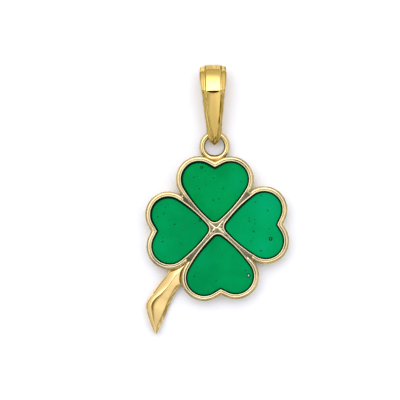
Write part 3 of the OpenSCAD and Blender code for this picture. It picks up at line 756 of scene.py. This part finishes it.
def bail_path():
    """Side view of the strap's outside as y, z, facing angle and share of the crescent: back strap, round top, level
    facet, straight front and lower end. The top is a quarter circle behind and part of an ellipse in front, which
    ends at the crease with a small tilt."""
    long = ARCH_Y + ARCH_R - CREASE_Y
    for _ in range(OVER_TRIES):
        last = math.atan2(ARCH_R, math.tan(CREASE_TILT) * long)
        long = (ARCH_Y + ARCH_R - CREASE_Y) / (1 - math.cos(last))
    tall = ARCH_R / math.sin(last)
    end = np.array([END_Y, END_R])
    up, behind = steps(0, 1, BACK_STEPS), steps(-TURN / 4, 0, BEHIND_STEPS)
    over, facet = np.linspace(0, last, OVER_STEPS), np.linspace(0, 1, FACET_STEPS)[1:-1]
    crest = np.array([CREASE_Y, 2 * ARCH_R])
    # The straight front touches the lower end's circle: its slope follows from the crest's distance
    gap = crest - end
    front = math.pi / 2 + math.atan2(gap[1], gap[0]) - math.asin(END_R / np.hypot(*gap))
    way = end + END_R * np.array([math.cos(front), math.sin(front)]) - crest
    down, round_end = steps(0, 1, FRONT_STEPS), steps(front, 0.75 * TURN, END_STEPS)
    rows = [(END_Y + (ARCH_Y - END_Y) * up, 0 * up, 0 * up - math.pi / 2, 0 * up),
            (ARCH_Y + ARCH_R * np.cos(behind), ARCH_R + ARCH_R * np.sin(behind), behind, 0 * behind),
            (ARCH_Y + ARCH_R - long + long * np.cos(over), ARCH_R + tall * np.sin(over),
             np.arctan2(np.sin(over) / tall, np.cos(over) / long), 0 * over),
            (CREASE_Y + 0 * facet, 2 * ARCH_R + 0 * facet, math.pi / 2 + 0 * facet, facet),
            (crest[0] + way[0] * down, crest[1] + way[1] * down + BAIL_BULGE * 4 * down * (1 - down),
             front + 0 * down, 1 - down),
            (end[0] + END_R * np.cos(round_end), end[1] + END_R * np.sin(round_end), round_end, 0 * round_end)]
    return np.concatenate(rows, 1)


def bail_section(half, panel):
    """Across positions and depths of the section at each place: panel with a slight crown, groove at its border,
    sloping bevel with a low rib, rounded edge, side and inside, and the same mirrored."""
    wide = half - panel
    border = np.minimum(BORDER, np.minimum(panel * 0.3, wide * 0.2))
    corner = np.radians([20, 45, 70, 90])
    slope = panel + border * 2.5
    x = np.concatenate([panel * [0, 0.15, 0.3, 0.45, 0.6, 0.72, 0.82], panel + border * np.linspace(-2.5, 2.5, 9),
                        slope + (half - EDGE_ROUND - slope) * [0.08, 0.17, 0.28, 0.42, 0.6, 0.8],
                        half - EDGE_ROUND * (1 - np.sin(corner))], 1)
    depth = CROWN * (x / CROWN_AT) ** 2 + (BAIL_BEVEL - EDGE_ROUND * 0.6) * np.clip((x - panel) / wide, 0, 1)
    depth = depth + BORDER_DEEP * hump(x - panel, border) + STEP_DOWN * eased(x - panel, 0, STEP_W) \
        - RIB_UP * hump(x - panel - RIB_AT, RIB_W) * eased(wide, *RIB_WIDE)
    depth[:, -len(corner):] += EDGE_ROUND * (1 - np.cos(corner)) * 0.6
    x = np.concatenate([x, half * [1, 1, 0.75, 0.5, 0.25, 0]], 1)
    depth = np.concatenate([depth, 0 * half + ([(BAIL_BEVEL + BAIL_T) / 2] + [BAIL_T] * 5)], 1)
    return np.concatenate([x, -x[:, -2:0:-1]], 1), np.concatenate([depth, depth[:, -2:0:-1]], 1)


def bail():
    """The strap: its section carried along the side view, each point set in from the outside by its depth. Below
    the crease the front starts lower in the middle, by the crescent's length, a power of one less the square of the
    share of its half width."""
    y, z, angle, moved = (column[:, None] for column in bail_path())
    share = ((y - (END_Y - END_R)) / BAIL_L)[:, 0]
    half, panel = (smooth_columns(table, share)[0][:, None] * BAIL_W / 2 for table in (BAIL_WIDTH, BAIL_PANEL))
    x, depth = bail_section(half, panel)
    front = (angle > 0) * (np.sin(angle) > 0.3) * (depth < BAIL_T / 2) * 1.0
    crescent = CRESCENT_LEAST + CRESCENT_L * np.maximum(0, 1 - ((x - CRESCENT_X) / CRESCENT_W) ** 2) ** 0.7
    at_y, at_z = y - np.cos(angle) * depth - moved * crescent * front, z - np.sin(angle) * depth
    nick = spots(x, at_y, [NICK], NICK_R) * front
    border = hump(np.abs(x) - panel, BORDER_W) * front
    right_line = hump(x - panel, BORDER_W) * front * stretch(at_y, *RIGHT_LINE_AT)
    seam = 0 * x
    for start, stop in zip(SEAM[:-1], SEAM[1:]):
        way = stop - start
        t = np.clip(((x - start[0]) * way[0] + (at_y - start[1]) * way[1]) / (way @ way), 0, 1)
        off = np.hypot(x - start[0] - t * way[0], at_y - start[1] - t * way[1])
        seam = np.maximum(seam, hump(off, SEAM_W) * front)
    at_z = at_z - NICK_DEEP * nick - SEAM_DEEP * seam
    side = (depth > BAIL_BEVEL + 0.02) * (depth < BAIL_T - 0.02)
    steep = eased(math.pi / 2 - angle, *STEEP_AT) * (angle > 0) * (1 - STEEP_LESS * (x < -panel))
    halves = (1 - eased(at_y, *BELOW_AT)) * front, eased(at_y, *ABOVE_AT) * front
    # Painted shade at the borders, on the bevels and by the crease, and painted dark reflection on the side walls and
    # the steep top. The seam, the nick and the right border's line are darker as well
    dark = CREASE_SHADE * front * hump(x - CREASE_SHADE_AT[0], CREASE_SHADE_W[0]) \
        * hump(at_y - CREASE_Y - CREASE_SHADE_AT[1], CREASE_SHADE_W[1])
    for high, hand, much, right, spread in SHADES:
        dark = dark + halves[high] * much * hump(x - hand * panel - right, spread)
    for hand, much in BEVEL_SHADES:
        dark = dark + halves[0] * much * eased(hand * x - panel, 0, BEVEL_W)
    for much, mark in zip(BAIL_DARK, (border, right_line, seam, nick, side, steep)):
        dark = dark + much * mark
    dark = np.clip(dark, 0, DARK_MOST + RIGHT_LINE_MORE * right_line)
    step = np.hypot(np.diff(y[:, 0], prepend=y[0, 0]), np.diff(z[:, 0], prepend=z[0, 0]))
    marks = {"across": x, "along": np.cumsum(step)[:, None] + 0 * x, "dark": dark}
    return np.stack([x, at_y, at_z], -1).reshape(-1, 3), [sheet_faces(*x.shape, True)], listed(marks)


strap = made("gold_bail", [bail()], gold("bail_gold", (0.98, 0.69, 0.21), (0.94, 0.637, 0.17), (0.2, 0.13, 0.008),
                                         0.08, 0.35))
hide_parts("bail")
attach(strap, "root")

# The table: a smooth board painted a dull white, wide enough to fill every view. Its top lies just below the
# pendant's back.
BOARD, BOARD_STEPS, BOARD_Z = 900, 8, -0.002
board_line, board_steps = np.linspace(-BOARD / 2, BOARD / 2, BOARD_STEPS + 1), np.arange(BOARD_STEPS)
board_points = np.stack(np.meshgrid(board_line, board_line, BOARD_Z, indexing="ij"), -1).reshape(-1, 3)
board_corners = (board_steps[:, None] * len(board_line) + board_steps).reshape(-1, 1)
board_mesh = bpy.data.meshes.new("white_board")
board_mesh.from_pydata((board_points * MM).tolist(), [],
                       (board_corners + [0, len(board_line), len(board_line) + 1, 1]).tolist())
board = bpy.data.objects.new("white_board", board_mesh)
bpy.context.scene.collection.objects.link(board)
board_paint, board_tree, board_shader = new_material("white_board")
feed(board_tree, board_shader, {"Base Color": (0.965, 0.99, 0.945, 1), "Roughness": 0.7, "Specular IOR Level": 0.0})
board.data.materials.append(board_paint)

# Light: a white tent round the table. It has a dark hole overhead for the camera, a bright roof round the hole,
# brightest at the upper left where the lamp stands behind the cloth, dimmer walls and a dark gap at the table.
world = bpy.data.worlds.new("tent")
bpy.context.scene.world = world
world.use_nodes = True
tent = world.node_tree
# Sine of the height above the table, and how bright the tent is there
LEVELS = [(0.0, 0.28), (0.1, 0.4), (0.25, 0.66), (0.45, 0.8), (0.62, 0.93), (0.75, 1.06), (0.86, 1.36),
          (0.91, 1.7), (0.965, 1.8), (0.98, 1.57), (0.987, 0.03), (1.0, 0.015)]
LEVEL_MOST = 3.0
ROOF_FROM, ROOF_TINT, WALL_TINT = 0.74, (0.98, 0.98, 1.17), (0.98, 0.98, 1.0)
# Places that are brighter or dimmer: azimuth, height, radius up to which each is full and from which it is gone,
# and the share that it adds or takes
PLACES = [(104, 62, 12, 36, 1.0), (285, 72, 10, 26, -0.6), (230, 48, 8, 24, -0.45), (298, 57, 6, 17, -0.35),
          (270, 30, 6, 20, -0.25), (90, 28, 12, 30, -0.12), (90, 2, 4, 16, 0.3), (140, 38, 12, 36, 0.05),
          (334, 40, 14, 34, 0.14)]
sky = added(tent, "TexCoord", {}, "Generated")
walls = added(tent, "ValToRGB", {"Fac": added(tent, "SeparateXYZ", {"Vector": sky}, "Z")})
ramp = walls.node.color_ramp
for _ in LEVELS[2:]:
    ramp.elements.new(0.5)
for element, (height, level) in zip(ramp.elements, LEVELS):
    element.position = height
    tint = ROOF_TINT if height >= ROOF_FROM else WALL_TINT
    element.color = tuple(level / LEVEL_MOST * part for part in tint) + (1,)
strength = LEVEL_MOST
for turn, high, full, gone, gain in PLACES:
    turn, high = math.radians(turn), math.radians(high)
    toward = (math.cos(high) * math.cos(turn), math.cos(high) * math.sin(turn), math.sin(high))
    facing = added(tent, "VectorMath", {0: sky, 1: toward}, "Value", operation="DOT_PRODUCT")
    fade = eased_range(tent, facing, math.cos(math.radians(gone)), math.cos(math.radians(full)), 1.0, 1.0 + gain)
    strength = maths(tent, "MULTIPLY", fade, strength)
feed(tent, tent.nodes["Background"], {"Color": walls, "Strength": strength})
bpy.context.scene.view_settings.view_transform = "Standard"

# The camera looks straight down from above, turned a little, as the pendant lies in the picture. It is far enough
# away to show next to no perspective.
AIM = np.array([-1.34, 2.42, 0.0]) * MM
FRAME_PIXELS, CAMERA_HIGH = 400, 0.45
lens_data = bpy.data.cameras.new("camera")
lens_data.sensor_width = 36
lens_data.lens = lens_data.sensor_width * CAMERA_HIGH / (FRAME_PIXELS * PIXEL_MM * MM)
lens_data.clip_start, lens_data.clip_end = 0.01, 5
camera = bpy.data.objects.new("camera", lens_data)
camera.location = AIM + np.array([0, 0, CAMERA_HIGH + 1.0 * MM])
camera.rotation_euler = (0, 0, -CLOVER_LEAN)
bpy.context.scene.collection.objects.link(camera)
bpy.context.scene.camera = camera
